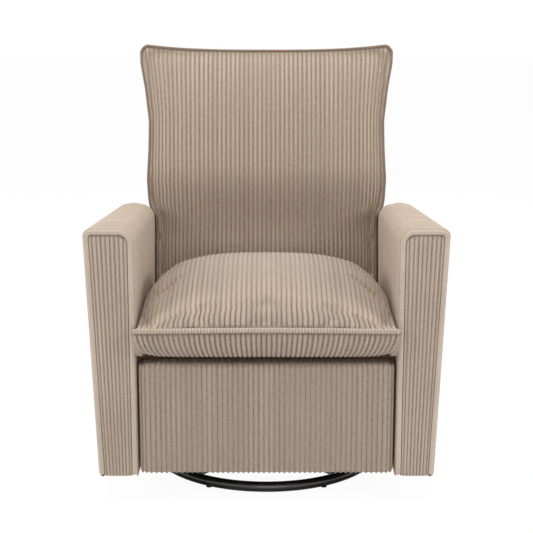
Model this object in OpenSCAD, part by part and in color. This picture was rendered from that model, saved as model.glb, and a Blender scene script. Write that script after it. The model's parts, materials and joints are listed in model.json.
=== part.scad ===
// Swivel glider chair with a reclining back and a fold-out footrest.
// Millimetres, +Z up, the front faces -Y, origin on the floor under the middle of the chair.

/* [Overall] */
// Depth over everything, from the seat cushion's nose to the back
chair_d = 860; // [820:10:1040]
// Height of the back cushion's corners
chair_h = 978; // [900:1:1180]
// Gap between the floor and the arms
floor_gap = 65; // [54:1:90]
// Width between the two arms
seat_w = 580; // [480:10:700]

/* [Base] */
// Outer diameter of the floor ring
ring_d = 560; // [460:10:680]
// Diameter of the ring's tube
ring_tube = 24; // [20:1:30]
// Distance of the ring behind the arms' front face
ring_setback = 54; // [20:1:120]
// Height of the rubber glides under the ring
glide_t = 2; // [1:0.5:4]
// Diameter of the balls in the swivel bearing
ball_d = 10; // [8:0.5:12]
// Diameter of the circle that the balls run on
race_d = 140; // [110:5:160]
// Diameter of the swivel's centre pin
king_d = 16; // [12:1:20]

/* [Glide linkage] */
// Distance between a swing link's two pivots
link_len = 150; // [120:1:160]
// Distance between the front and rear swing links
link_span = 270; // [230:5:300]
// Width of a swing link
link_w = 30; // [24:1:36]
// Thickness of a swing link
link_t = 8; // [6:1:10]
// Diameter of the pivot pins
pin_d = 10; // [8:1:12]
// Thickness of the steel plates
plate_t = 6; // [4:1:8]
// Side of the square steel tubes
tube_w = 25; // [20:1:30]
// Half the distance between the two rows of posts
post_x = 156; // [130:1:175]

/* [Seat] */
// Height of the seat box, from the arms' lower edge to the top of its rails
box_h = 266; // [250:1:310]
// Thickness of the wooden rails and boards
rail_t = 22; // [18:1:26]
// Height of the side rails
rail_h = 96; // [80:1:110]
// Diameter of the sinuous springs' wire
wire_d = 3.8; // [3:0.1:4.5]
// Thickness of the deck cloth over the springs
deck_t = 5; // [3:1:8]
// Length of the seat cushion
cushion_l = 528; // [460:1:560]
// Thickness of the seat cushion at its crown
cushion_t = 175; // [140:1:200]
// Thickness of the seat cushion at its sides
cushion_side = 100; // [90:1:130]
// How far the cushion's nose stands out in front of the arms
nose = 30; // [20:1:40]

/* [Arms] */
// Height of an arm's top at its front
arm_h = 636; // [580:1:700]
// Width of an arm at its top
arm_w = 112; // [95:1:140]
// Length of an arm
arm_l = 662; // [640:1:760]
// How far the outer face comes in towards its lower edge
arm_lean = 23; // [0:1:30]
// How far the outer face comes in towards the back
arm_sweep = 26; // [0:1:34]
// How far an arm's top falls towards the back
arm_drop = 48; // [0:1:60]
// Radius of an arm's top rear corner
arm_rear_r = 120; // [60:5:150]
// Radius of an arm's other top corners
arm_r = 14; // [6:1:20]
// Thickness of the padded arm cover
cover_t = 14; // [10:1:18]

/* [Back] */
// Lean of the back from upright
lean = 14; // [8:1:18]
// Height of the back frame along its lean
back_h = 600; // [540:5:640]
// Depth of the back frame
back_t = 50; // [44:1:56]
// Thickness of the padded outside back
outside_t = 14; // [10:1:18]
// Thickness of the back cushion
pillow_t = 124; // [90:1:130]
// How far the middle of the cushion's top edge lies below its corners
pillow_dip = 16; // [0:1:30]
// Diameter of the recline pins
recline_d = 12; // [10:1:14]

/* [Footrest] */
// Depth of the front panel with its padding
panel_t = 60; // [50:1:60]
// Thickness of the panel's board
board_t = 15; // [12:1:18]
// Height of the front panel
panel_h = 269; // [240:1:270]
// Gap between the panel and each arm
panel_gap = 4; // [3:1:8]
// Width of the steel bars that carry the panel
bar_w = 24; // [20:1:26]

/* [Hidden] */
$fn = 64;

fit = 0.3;          // gap between pieces that lie against each other
run = 0.05;         // radial clearance of a pin that turns in its bore
washer = 0.5;       // gap between two hinge plates
half_w = seat_w / 2;
front_y = -chair_d / 2 + nose;             // front face of the arms
rail_top = floor_gap + box_h;
sides = [-1, 1];

// Base: ring, spokes, hub and ball bearing, stacked upwards from the floor
ring_r = (ring_d - ring_tube) / 2;
swivel_y = front_y + ring_setback + ring_d / 2;
ring_z = glide_t + ring_tube / 2;
glide_d = 14;
glide_count = 6;
spoke_w = 30;
spoke_h = 16;
spoke_in = 25;
hub_z = ring_z + spoke_h / 2;
hub_t = 5;
race_t = 8;
race_w = 20;
race_gap = 2;
hub_d = race_d + 50;
ball_z = hub_z + hub_t + race_t + race_gap / 2;
ball_count = 16;
cage_t = 1.6;
turn_z = ball_z + race_gap / 2 + race_t;
king_head = 6;

// Glider: lower frame, swing links and carriage
table_w = 200;
table_l = 260;
cross_z = turn_z + plate_t;
cross_y = 105;
side_z = cross_z + tube_w;
link_y = [swivel_y - 120, swivel_y - 120 + link_span];
link_ends = 28;
low_z = floor_gap + 40;
high_z = low_z + link_len;
post_in = post_x - plate_t;
link_x = post_x + 2;
plate_x = link_x + link_t + 2;
pin_head = 4;
carriage_end = 60;
carriage_top = rail_top - 41;
carriage_low = low_z - 20;
light_hole = 60;

// Seat box
rail_x = half_w - fit - rail_t;            // inner face of a side rail
rail_front = front_y + panel_t + 2;
plank_l = 90;
back_y = chair_d / 2 - sin(lean) * back_h - cos(lean) * (back_t + outside_t + fit);
seat_z = rail_top + 14;                    // the back frame stands on this level
apron_t = 20;
apron_y = back_y + 15.5;
apron_h = 206;
rear_rail_y = back_y - 72;
rear_rail_h = 61;
spring_amp = 18;
spring_pitch = 44;
spring_x = [for (k = [-2:2]) k * seat_w * 0.172];
spring_y = [rail_front + 76, rear_rail_y + 14];
clip = [24, 22, 2.1];
deck_z = rail_top + wire_d + clip[2] + fit;
cushion_z = deck_z + deck_t + fit;
cushion_y = -chair_d / 2;
nose_z = cushion_z + 52;
bolt_d = 8;
bolt_y = [front_y + 150, front_y + 350, front_y + 550];
bolt_z = rail_top - 71;

// Arms
arm_back = front_y + arm_l;
top_fall = atan(arm_drop / (arm_l - arm_rear_r));

// Back, in its own leaning frame: X across, Y backwards through it, Z up along it
hinge_in = 22;
hinge_down = 25.5;
hinge_y = back_y - sin(lean) * hinge_down + cos(lean) * hinge_in;
hinge_z = seat_z - cos(lean) * hinge_down - sin(lean) * hinge_in;
hinge_r = 18;
back_side = half_w - plate_t - washer;      // inner side of the outside back's walls
skin_t = 2.5;                              // its walls round the frame's sides and top
frame_top = back_h - skin_t - fit;         // top of the back frame's wood
pillow_low = 15;
pillow_peak = 0.635;                       // share of its thickness at which the leaning cushion is highest
pillow_top = (chair_h - seat_z - sin(lean) * pillow_t * pillow_peak) / cos(lean);
outside_low = -44;
back_rail_h = 45;

// Footrest: [y, z] of the crank's pivot, the middle joint and the panel's joint
panel_top = floor_gap + panel_h;
crank_pivot = [front_y + 86, rail_top - 63];
middle_joint = [front_y + 137, rail_top - 154];
panel_joint = [front_y + 81, rail_top - 60];
bracket_x = 222;
crank_x = bracket_x + plate_t + 2;
strut_x = crank_x + plate_t + 2;
ear_x = strut_x + plate_t + 2;
trunnion_d = 12;
torque_d = 20;

// Cylinder of diameter d along X, from x0 to x1, centred on [y, z]
module rod(d, x0, x1, at) {
    translate([x0, at[0], at[1]]) rotate([0, 90, 0]) cylinder(d = d, h = x1 - x0);
}

// Box between two corners
module slab(low, high) {
    translate(low) cube(high - low);
}

// Outline drawn in Y and Z, carried along X from x0 to x1
module along_x(x0, x1) {
    translate([x0, 0, 0]) rotate([90, 0, 90]) linear_extrude(x1 - x0) children();
}

// Outline drawn in X and Z, carried along Y from y0 to y1
module along_y(y0, y1) {
    translate([0, y1, 0]) rotate([90, 0, 0]) linear_extrude(y1 - y0) children();
}

// The same piece on the left and on the right
module both() {
    children();
    mirror([1, 0, 0]) children();
}

module torus(ring, tube) {
    rotate_extrude($fn = 128) translate([ring, 0]) circle(d = tube);
}

module on_swivel(z) {
    translate([0, swivel_y, z]) children();
}

// Flat bar along a line in Y and Z, with a round eye of diameter w about each point
module bar(x0, from, to, w, bore_from, bore_to) {
    step = to - from;
    side = w * 0.4 / norm(step) * [-step[1], step[0]];
    along_x(x0, x0 + plate_t) difference() {
        union() {
            polygon([from + side, from - side, to - side, to + side]);
            translate(from) circle(d = w);
            translate(to) circle(d = w);
        }
        translate(from) circle(d = bore_from);
        translate(to) circle(d = bore_to);
    }
}

// One edge of a sine wave of wire: the wave moved sideways along its normal
function wave(l, edge) = [for (k = [0:5:360 * l / spring_pitch])
    let (y = k / 360 * spring_pitch, slope = spring_amp * cos(k) * 2 * PI / spring_pitch, n = norm([1, slope]))
    if (k % 30 == 0) [spring_amp * sin(k) + edge / n, y - edge * slope / n]];
function reversed(list) = [for (k = [len(list) - 1:-1:0]) list[k]];

module spring(l) {
    linear_extrude(wire_d) polygon(concat(wave(l, wire_d / 2), reversed(wave(l, -wire_d / 2))));
}

// ---- Base ----
module base_ring() {
    color("black") on_swivel(ring_z) torus(ring_r, ring_tube);
}

module base_spokes() {
    color("black") difference() {
        for (turn = [45:90:315]) on_swivel(ring_z) rotate(turn)
            slab([spoke_in, -spoke_w / 2, -spoke_h / 2], [ring_r, spoke_w / 2, spoke_h / 2]);
        on_swivel(ring_z) torus(ring_r, ring_tube + fit);
    }
}

module hub_plate() {
    color("dimgray") on_swivel(hub_z) difference() {
        cylinder(d = hub_d, h = hub_t);
        translate([0, 0, -1]) cylinder(d = king_d + 2 * run, h = hub_t + 2);
    }
}

module floor_glides() {
    color("darkslategray") difference() {
        for (k = [0:glide_count - 1]) on_swivel(0) rotate((k - 1) * 360 / glide_count)
            translate([ring_r, 0, 0]) cylinder(d = glide_d, h = glide_t + 4);
        on_swivel(ring_z) torus(ring_r, ring_tube);
    }
}

module race() {
    difference() {
        cylinder(d = race_d + race_w, h = race_t);
        translate([0, 0, -1]) cylinder(d = race_d - race_w, h = race_t + 2);
    }
}

module lower_race() {
    color("silver") difference() {
        on_swivel(hub_z + hub_t) race();
        on_swivel(ball_z) torus(race_d / 2, ball_d + fit);
    }
}

module upper_race() {
    color("silver") difference() {
        on_swivel(turn_z - race_t) race();
        on_swivel(ball_z) torus(race_d / 2, ball_d + fit);
    }
}

module swivel_balls() {
    color("silver") on_swivel(ball_z) for (k = [0:ball_count - 1])
        rotate(k * 360 / ball_count) translate([race_d / 2, 0, 0]) sphere(d = ball_d, $fn = 32);
}

module ball_cage() {
    color("goldenrod") on_swivel(ball_z - cage_t / 2) difference() {
        cylinder(d = race_d + race_w, h = cage_t);
        translate([0, 0, -1]) cylinder(d = race_d - race_w, h = cage_t + 2);
        for (k = [0:ball_count - 1]) rotate(k * 360 / ball_count)
            translate([race_d / 2, 0, -1]) cylinder(d = ball_d + fit, h = cage_t + 2);
    }
}

// ---- Turntable and the glider's lower frame ----
module king_pin() {
    color("gray") {
        on_swivel(hub_z - 10) cylinder(d = king_d, h = cross_z - hub_z + 10);
        on_swivel(cross_z) cylinder(d = king_d + 12, h = king_head);
    }
}

module king_nut() {
    color("gray") on_swivel(hub_z - fit - 9) difference() {
        cylinder(d = king_d + 10, h = 9, $fn = 6);
        translate([0, 0, -1]) cylinder(d = king_d, h = 11);
    }
}

module turntable_plate() {
    color("dimgray") on_swivel(turn_z) difference() {
        slab([-table_w / 2, -table_l / 2, 0], [table_w / 2, table_l / 2, plate_t]);
        translate([0, 0, -1]) cylinder(d = king_d, h = plate_t + 2);
    }
}

module glider_cross_rails() {
    color("dimgray") for (s = sides) on_swivel(cross_z)
        slab([-post_in, s * cross_y - tube_w / 2, 0], [post_in, s * cross_y + tube_w / 2, tube_w]);
}

module glider_side_rails() {
    color("dimgray") both() slab([post_in - tube_w, link_y[0] - link_ends, side_z],
        [post_in, link_y[1] + link_ends, side_z + tube_w]);
}

module glider_posts() {
    color("dimgray") both() difference() {
        for (y = link_y) slab([post_in, y - tube_w, side_z], [post_x, y + tube_w, high_z + 20]);
        for (y = link_y) rod(pin_d, post_in - 1, post_x + 1, [y, high_z]);
    }
}

module upper_pins() {
    color("silver") both() for (y = link_y) {
        rod(pin_d, post_in, plate_x - fit, [y, high_z]);
        rod(pin_d + 8, post_in - pin_head, post_in, [y, high_z]);
    }
}

// ---- Swing links ----
module swing_links(y) {
    color("gray") both() difference() {
        union() {
            slab([link_x, y - link_w / 2, low_z], [link_x + link_t, y + link_w / 2, high_z]);
            for (z = [low_z, high_z]) rod(link_w, link_x, link_x + link_t, [y, z]);
        }
        for (z = [low_z, high_z]) rod(pin_d + 6, link_x - 1, link_x + link_t + 1, [y, z]);
    }
}

module bushes(y) {
    color("ivory") both() for (z = [low_z, high_z]) difference() {
        rod(pin_d + 6, post_x + fit, plate_x - fit, [y, z]);
        rod(pin_d + 2 * run, post_x, plate_x, [y, z]);
    }
}

module rear_links() { swing_links(link_y[1]); }
module rear_bushes() { bushes(link_y[1]); }
module front_links() { swing_links(link_y[0]); }
module front_bushes() { bushes(link_y[0]); }

// ---- Carriage that hangs from the links ----
module carriage_plate() {
    color("dimgray") difference() {
        slab([plate_x, link_y[0] - carriage_end, carriage_low],
            [plate_x + plate_t, link_y[1] + carriage_end, carriage_top]);
        for (y = link_y) rod(pin_d, plate_x - 1, plate_x + plate_t + 1, [y, low_z]);
        for (k = sides) rod(light_hole, plate_x - 1, plate_x + plate_t + 1,
            [(link_y[0] + link_y[1]) / 2 + k * 45, (low_z + high_z) / 2]);
    }
}

module carriage_plate_right() { carriage_plate(); }
module carriage_plate_left() { mirror([1, 0, 0]) carriage_plate(); }

module lower_pins() {
    color("silver") both() for (y = link_y) {
        rod(pin_d, post_x + fit, plate_x + plate_t, [y, low_z]);
        rod(pin_d + 8, plate_x + plate_t, plate_x + plate_t + pin_head, [y, low_z]);
    }
}

module carriage_tubes() {
    color("dimgray") for (y = [link_y[0] - 36, link_y[1] + 8])
        slab([-rail_x, y, carriage_top], [rail_x, y + tube_w, carriage_top + tube_w]);
}

// ---- Seat box ----
module seat_rail() {
    color("burlywood") difference() {
        along_x(rail_x, rail_x + rail_t) polygon([[rail_front, rail_top - rail_h], [apron_y - fit, rail_top - rail_h],
            [apron_y - fit, rail_top - 51], [hinge_y - 30, rail_top - 51], [hinge_y - 30, rail_top],
            [rail_front, rail_top]]);
        for (y = bolt_y) rod(bolt_d + 2 * run, rail_x - 1, rail_x + rail_t + 1, [y, bolt_z]);
    }
}

module seat_rail_right() { seat_rail(); }
module seat_rail_left() { mirror([1, 0, 0]) seat_rail(); }

module front_plank() {
    color("burlywood") slab([-rail_x, rail_front, rail_top - rail_t], [rail_x, rail_front + plank_l, rail_top]);
}

module rear_rail() {
    color("burlywood") slab([-rail_x, rear_rail_y, rail_top - rear_rail_h], [rail_x, rear_rail_y + rail_t, rail_top]);
}

module seat_springs() {
    color("silver") for (x = spring_x) translate([x, spring_y[0], rail_top]) spring(spring_y[1] - spring_y[0]);
}

module spring_clips() {
    color("gray") for (x = spring_x, y = spring_y) translate([x, y, rail_top + wire_d])
        slab([-clip[0] / 2, -clip[1] / 2, 0], [clip[0] / 2, clip[1] / 2, clip[2]]);
}

module seat_deck() {
    color("black") slab([-half_w + 5, rail_front, deck_z], [half_w - 5, rear_rail_y + rail_t, deck_z + deck_t]);
}

// The cushion's crown across the seat, as an outline in X and Z
module cushion_across() {
    side = half_w + nose;
    polygon(concat([[-side, cushion_z], [side, cushion_z]],
        [for (k = [10:-1:-10]) let (x = side * k / 10, f = min(1, abs(x) / (half_w + 8)))
            [x, cushion_z + cushion_side + (cushion_t - cushion_side) * (1 - pow(f, 2.2))]]));
}

// The cushion from front to back, as an outline in Y and Z: round nose, crown and straight rear
module cushion_along() {
    rise = cushion_t - 104;
    polygon(concat([[cushion_y + cushion_l, cushion_z]],
        [for (a = [-90:10:90]) [cushion_y + nose + 5 - (nose + 5) * cos(a), nose_z + 52 * sin(a)]],
        [for (k = [1:12]) let (u = k / 12)
            [cushion_y + nose + 5 + u * (cushion_l - nose - 5), nose_z + 52 + rise * (sin(180 * pow(u, 0.72)) * 0.9 + u * 0.1)]]));
}

module seat_cushion() {
    color("rosybrown") intersection() {
        along_y(cushion_y, cushion_y + cushion_l) cushion_across();
        along_x(-half_w - nose, half_w + nose) cushion_along();
        union() {
            slab([-half_w + fit + 3, cushion_y, 0], [half_w - fit - 3, cushion_y + cushion_l, chair_h]);
            slab([-half_w - 8, cushion_y, 0], [half_w + 8, front_y - fit, chair_h]);
        }
    }
}

// ---- Arms ----
// An arm's side outline in Y and Z, drawn in by inset on every side but its lower edge
module arm_side(inset) {
    r = arm_rear_r - inset;
    y0 = front_y + inset;
    cy = front_y + arm_l - arm_rear_r;
    tangent_y = cy + r * sin(top_fall);
    top = function(y) arm_h - inset - (y - front_y) * tan(top_fall);
    cz = top(tangent_y) - r * cos(top_fall);
    polygon(concat([[y0, floor_gap], [y0, top(y0) - arm_r]],
        [for (a = [165:-15:90]) [y0 + arm_r + arm_r * cos(a), top(y0) - arm_r + arm_r * sin(a)]],
        [for (a = [90 - top_fall:-9:0]) [cy + r * cos(a), cz + r * sin(a)]],
        [[cy + r, cz], [cy + r, floor_gap]]));
}

// The solid between an arm's side outline, its upright inner face and its leaning outer face
module arm_form(inset) {
    top_x = half_w + arm_w - inset;
    height = arm_h - floor_gap;
    difference() {
        along_x(half_w + inset, half_w + arm_w) arm_side(inset);
        translate([top_x, front_y, arm_h]) rotate([0, 0, atan(arm_sweep / arm_l)])
            rotate([0, atan(arm_lean / height), 0]) translate([0, -arm_l, -2 * height])
                cube([arm_w, 3 * arm_l, 3 * height]);
    }
}

module arm_cover() {
    color("rosybrown") difference() {
        arm_form(0);
        arm_form(cover_t);
        slab([half_w + cover_t, front_y + cover_t, floor_gap - 1],
            [half_w + arm_w - arm_lean - arm_sweep - cover_t, arm_back - cover_t, floor_gap + rail_t]);
        for (y = bolt_y) rod(bolt_d + 2 * run, half_w - 1, half_w + cover_t + 1, [y, bolt_z]);
    }
}

module arm_cover_right() { arm_cover(); }
module arm_cover_left() { mirror([1, 0, 0]) arm_cover(); }

// Plywood panel inside an arm, against the inner side of its cover
module arm_board() {
    x0 = half_w + cover_t + fit;
    color("burlywood") difference() {
        intersection() {
            arm_form(cover_t + fit);
            slab([x0, front_y, floor_gap + rail_t + fit], [x0 + rail_t, arm_back, arm_h]);
        }
        for (y = bolt_y) rod(bolt_d + 2 * run, x0 - 1, x0 + rail_t + 1, [y, bolt_z]);
    }
}

module arm_board_right() { arm_board(); }
module arm_board_left() { mirror([1, 0, 0]) arm_board(); }

// Front and rear uprights that hold an arm's outer side away from its panel
module arm_posts() {
    x0 = half_w + cover_t + rail_t + 2 * fit;
    color("burlywood") both() intersection() {
        arm_form(cover_t + fit);
        union() for (y = [front_y + cover_t + fit, arm_back - cover_t - fit - 45])
            slab([x0, y, floor_gap + rail_t + fit], [half_w + arm_w, y + 45, arm_h]);
    }
}

module arm_bottom_boards() {
    color("burlywood") both() slab([half_w + cover_t + fit, front_y + cover_t + fit, floor_gap],
        [half_w + arm_w - arm_lean - arm_sweep - cover_t - fit, arm_back - cover_t - fit, floor_gap + rail_t]);
}

module arm_bolts() {
    color("silver") both() for (y = bolt_y) {
        rod(bolt_d, rail_x, half_w + cover_t + fit + rail_t, [y, bolt_z]);
        rod(bolt_d + 8, rail_x - 5, rail_x, [y, bolt_z]);
    }
}

module rear_apron() {
    color("rosybrown") slab([-half_w + panel_gap, apron_y, floor_gap],
        [half_w - panel_gap, apron_y + apron_t, floor_gap + apron_h]);
}

// ---- Footrest ----
module footrest_brackets() {
    color("dimgray") both() difference() {
        slab([bracket_x, crank_pivot[0] - 16, crank_pivot[1] - 16],
            [bracket_x + plate_t, crank_pivot[0] + 40, rail_top - rail_t]);
        rod(trunnion_d + 2 * run, bracket_x - 1, bracket_x + plate_t + 1, crank_pivot);
    }
}

module torque_tube() {
    color("gray") {
        rod(torque_d, -bracket_x + fit, bracket_x - fit, crank_pivot);
        rod(trunnion_d, -crank_x - plate_t, crank_x + plate_t, crank_pivot);
    }
}

module footrest_cranks() {
    color("gray") both() bar(crank_x, crank_pivot, middle_joint, bar_w, trunnion_d, pin_d + 2 * run);
}

module footrest_links() {
    color("gray") both() bar(strut_x, middle_joint, panel_joint, bar_w, pin_d, pin_d + 2 * run);
}

module link_pins() {
    color("silver") both() rod(pin_d, crank_x - fit, strut_x + plate_t, middle_joint);
}

module panel_brackets() {
    y = front_y + panel_t;
    color("dimgray") both() difference() {
        union() {
            slab([ear_x, y, panel_joint[1] - 60], [ear_x + plate_t, panel_joint[0], panel_joint[1] + bar_w / 2]);
            rod(bar_w, ear_x, ear_x + plate_t, panel_joint);
        }
        rod(pin_d, ear_x - 1, ear_x + plate_t + 1, panel_joint);
    }
}

module panel_pins() {
    color("silver") both() rod(pin_d, strut_x - fit, ear_x + plate_t, panel_joint);
}

module footrest_board() {
    color("burlywood") slab([-half_w + 20, front_y + panel_t - board_t, floor_gap + 10],
        [half_w - 20, front_y + panel_t, panel_top - 10]);
}

module footrest_pad() {
    w = half_w - panel_gap;
    r = 14;
    color("rosybrown") difference() {
        along_y(front_y, front_y + panel_t) union() {
            translate([-w + r, floor_gap]) square([2 * (w - r), panel_h]);
            translate([-w, floor_gap + r]) square([2 * w, panel_h - 2 * r]);
            for (x = [-w + r, w - r], z = [floor_gap + r, panel_top - r]) translate([x, z]) circle(r);
        }
        slab([-half_w + 20 - fit, front_y + panel_t - board_t - fit, floor_gap + 10 - fit],
            [half_w - 20 + fit, front_y + panel_t + 1, panel_top - 10 + fit]);
    }
}

// ---- Recline hinge ----
module recline_brackets() {
    x0 = rail_x - plate_t;
    color("dimgray") both() difference() {
        union() {
            slab([x0, rear_rail_y + rail_t, hinge_z - hinge_r], [rail_x, hinge_y, hinge_z + hinge_r - 4]);
            rod(2 * hinge_r, x0, rail_x, [hinge_y, hinge_z]);
        }
        rod(recline_d, x0 - 1, rail_x + 1, [hinge_y, hinge_z]);
    }
}

module recline_pins() {
    x0 = rail_x - 2 * (plate_t + washer);
    color("silver") both() {
        rod(recline_d, x0, rail_x, [hinge_y, hinge_z]);
        rod(recline_d + 8, x0 - pin_head, x0, [hinge_y, hinge_z]);
    }
}

// ---- Back ----
module leaning() {
    translate([0, back_y, seat_z]) rotate([-lean, 0, 0]) children();
}

module hinge_plates() {
    x1 = rail_x - plate_t - washer;
    color("dimgray") both() difference() {
        union() {
            rod(2 * hinge_r, x1 - plate_t, x1, [hinge_y, hinge_z]);
            leaning() slab([x1 - plate_t, hinge_in - hinge_r, -hinge_down], [x1, hinge_in + hinge_r, 110]);
        }
        rod(recline_d + 2 * run, x1 - plate_t - 1, x1 + 1, [hinge_y, hinge_z]);
    }
}

module back_stile() {
    color("burlywood") leaning()
        slab([rail_x - plate_t - washer, fit, 0], [back_side - fit, back_t, frame_top]);
}

module back_stile_right() { back_stile(); }
module back_stile_left() { mirror([1, 0, 0]) back_stile(); }

module back_rail(s) {
    w = rail_x - plate_t - washer;
    color("burlywood") leaning() slab([-w, wire_d + 2 * fit, s], [w, wire_d + 2 * fit + rail_t, s + back_rail_h]);
}

module back_top_rail() { back_rail(frame_top - back_rail_h); }
module back_middle_rail() { back_rail((back_h - back_rail_h) / 2); }
module back_bottom_rail() {
    w = rail_x - 2 * (plate_t + washer);
    color("burlywood") leaning() slab([-w, wire_d + 2 * fit, 0], [w, wire_d + 2 * fit + rail_t, back_rail_h]);
}

module back_springs() {
    color("silver") leaning() for (k = [-1.5:1.5]) translate([k * seat_w * 0.2, wire_d + fit * 1.5, 16])
        rotate([90, 0, 0]) spring(back_h - 34);
}

// Padded panel behind the back frame, with thin walls that cover the frame's sides and top
module outside_back() {
    w = back_side + skin_t;
    color("rosybrown") leaning() difference() {
        union() {
            slab([-w, back_t + fit, outside_low], [w, back_t + outside_t + fit, back_h]);
            slab([-w, 2, 0], [w, back_t + outside_t, back_h]);
        }
        slab([-back_side, 1, -1], [back_side, back_t + fit, back_h - skin_t]);
    }
}

// The back cushion's outline from the front: straight between the arms, eared above them, hollow along its top
module pillow_front() {
    h = pillow_top - pillow_low;
    right = [[-6, 0], [-6, 0.34 * h], [10, 0.37 * h], [22, 0.43 * h], [18, 0.7 * h], [28, 0.88 * h], [35, h - 26]];
    ear = [for (a = [0:15:90]) [half_w + 17 + 18 * cos(a), pillow_top - 18 + 18 * sin(a)]];
    half = concat([for (p = right) [half_w + p[0], pillow_low + p[1]]], ear);
    top = [for (k = [9:-1:-9]) let (u = k / 10)
        [u * (half_w + 17), pillow_top - pillow_dip * (1 - pow(abs(u), 3))]];
    polygon(concat(half, top, [for (p = reversed(half)) [-p[0], p[1]]]));
}

// The back cushion from the side: full in the middle and rounded at both ends
module pillow_side() {
    h = (pillow_top - pillow_low) / 2;
    t = pillow_t / 2;
    polygon([for (a = [0:7.5:352.5]) let (c = cos(a), s = sin(a))
        [-t - fit + t * sign(c) * pow(abs(c), 0.5), pillow_low + h + h * sign(s) * pow(abs(s), 0.5)]]);
}

module back_pillow() {
    color("rosybrown") leaning() intersection() {
        along_y(-pillow_t - 1, 0) pillow_front();
        along_x(-seat_w, seat_w) pillow_side();
    }
}

base_ring();
base_spokes();
hub_plate();
floor_glides();
lower_race();
swivel_balls();
ball_cage();
upper_race();
king_pin();
king_nut();
turntable_plate();
glider_cross_rails();
glider_side_rails();
glider_posts();
upper_pins();
rear_links();
rear_bushes();
front_links();
front_bushes();
carriage_plate_left();
carriage_plate_right();
lower_pins();
carriage_tubes();
seat_rail_left();
seat_rail_right();
front_plank();
rear_rail();
seat_springs();
spring_clips();
seat_deck();
seat_cushion();
arm_board_left();
arm_board_right();
arm_posts();
arm_bottom_boards();
arm_bolts();
arm_cover_left();
arm_cover_right();
rear_apron();
footrest_brackets();
recline_brackets();
recline_pins();
torque_tube();
footrest_cranks();
footrest_links();
link_pins();
footrest_board();
footrest_pad();
panel_brackets();
panel_pins();
back_stile_left();
back_stile_right();
back_top_rail();
back_middle_rail();
back_bottom_rail();
back_springs();
hinge_plates();
outside_back();
back_pillow();
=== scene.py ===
import json
import math

import bpy
import numpy as np
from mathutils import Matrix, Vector


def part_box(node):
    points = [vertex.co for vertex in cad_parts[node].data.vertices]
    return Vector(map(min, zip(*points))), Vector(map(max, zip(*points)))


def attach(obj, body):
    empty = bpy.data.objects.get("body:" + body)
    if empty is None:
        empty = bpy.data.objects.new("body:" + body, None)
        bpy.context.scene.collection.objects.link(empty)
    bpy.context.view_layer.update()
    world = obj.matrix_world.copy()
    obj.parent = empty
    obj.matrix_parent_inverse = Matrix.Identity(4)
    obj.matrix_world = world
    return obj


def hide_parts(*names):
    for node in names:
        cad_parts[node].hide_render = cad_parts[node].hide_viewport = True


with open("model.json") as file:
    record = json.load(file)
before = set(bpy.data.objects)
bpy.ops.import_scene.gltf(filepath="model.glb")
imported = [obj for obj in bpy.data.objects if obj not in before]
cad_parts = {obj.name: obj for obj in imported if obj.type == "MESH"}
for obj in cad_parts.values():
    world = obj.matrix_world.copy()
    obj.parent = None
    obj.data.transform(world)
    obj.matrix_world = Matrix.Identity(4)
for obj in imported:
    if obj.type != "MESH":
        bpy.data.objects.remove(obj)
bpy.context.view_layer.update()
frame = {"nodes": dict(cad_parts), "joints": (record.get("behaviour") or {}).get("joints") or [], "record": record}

# ---- Frame values, in metres ----
JOINTS = {joint["name"]: joint for joint in frame["joints"]}
MM = 0.001
WALE = 11.5 * MM                 # width of one corduroy wale
WALE_RISE = 3.3 * MM             # height of a wale over its groove
STEPS = 8                        # columns of points across one wale
CLOTH_FRAMES = 20                # frames a cushion's cloth is given to swell

ARM_LOW, ARM_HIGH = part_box("arm_cover_right")
PAD_LOW, PAD_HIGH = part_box("footrest_pad")
SEAT_LOW, SEAT_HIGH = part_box("seat_cushion")
APRON_LOW, APRON_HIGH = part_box("rear_apron")
PILLOW_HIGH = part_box("back_pillow")[1]
FRONT = ARM_LOW.y                # front face of the arms
HALF_SEAT = ARM_LOW.x            # inner face of an arm

LEAN = math.radians(14)          # lean of the back
RECLINE = JOINTS["recline"]["pos_m"]
HINGE_IN = 22 * MM               # the recline hinge behind the back frame's front
HINGE_DOWN = 25.5 * MM           # and under its foot
BACK_Y = RECLINE[1] + math.sin(LEAN) * HINGE_DOWN - math.cos(LEAN) * HINGE_IN
BACK_Z = RECLINE[2] + math.cos(LEAN) * HINGE_DOWN + math.sin(LEAN) * HINGE_IN


# ---- Shader nodes ----
class Value:
    """A socket that adds Math nodes when it is used in an expression."""

    def __init__(self, maker, socket):
        self.maker, self.socket = maker, socket

    def _math(self, operation, first, second):
        return self.maker.node("ShaderNodeMath", {"operation": operation}, {0: first, 1: second})

    def __add__(self, other):
        return self._math("ADD", self, other)

    def __sub__(self, other):
        return self._math("SUBTRACT", self, other)

    def __mul__(self, other):
        return self._math("MULTIPLY", self, other)

    def __rsub__(self, other):
        return self._math("SUBTRACT", other, self)

    __radd__ = __add__
    __rmul__ = __mul__


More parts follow.
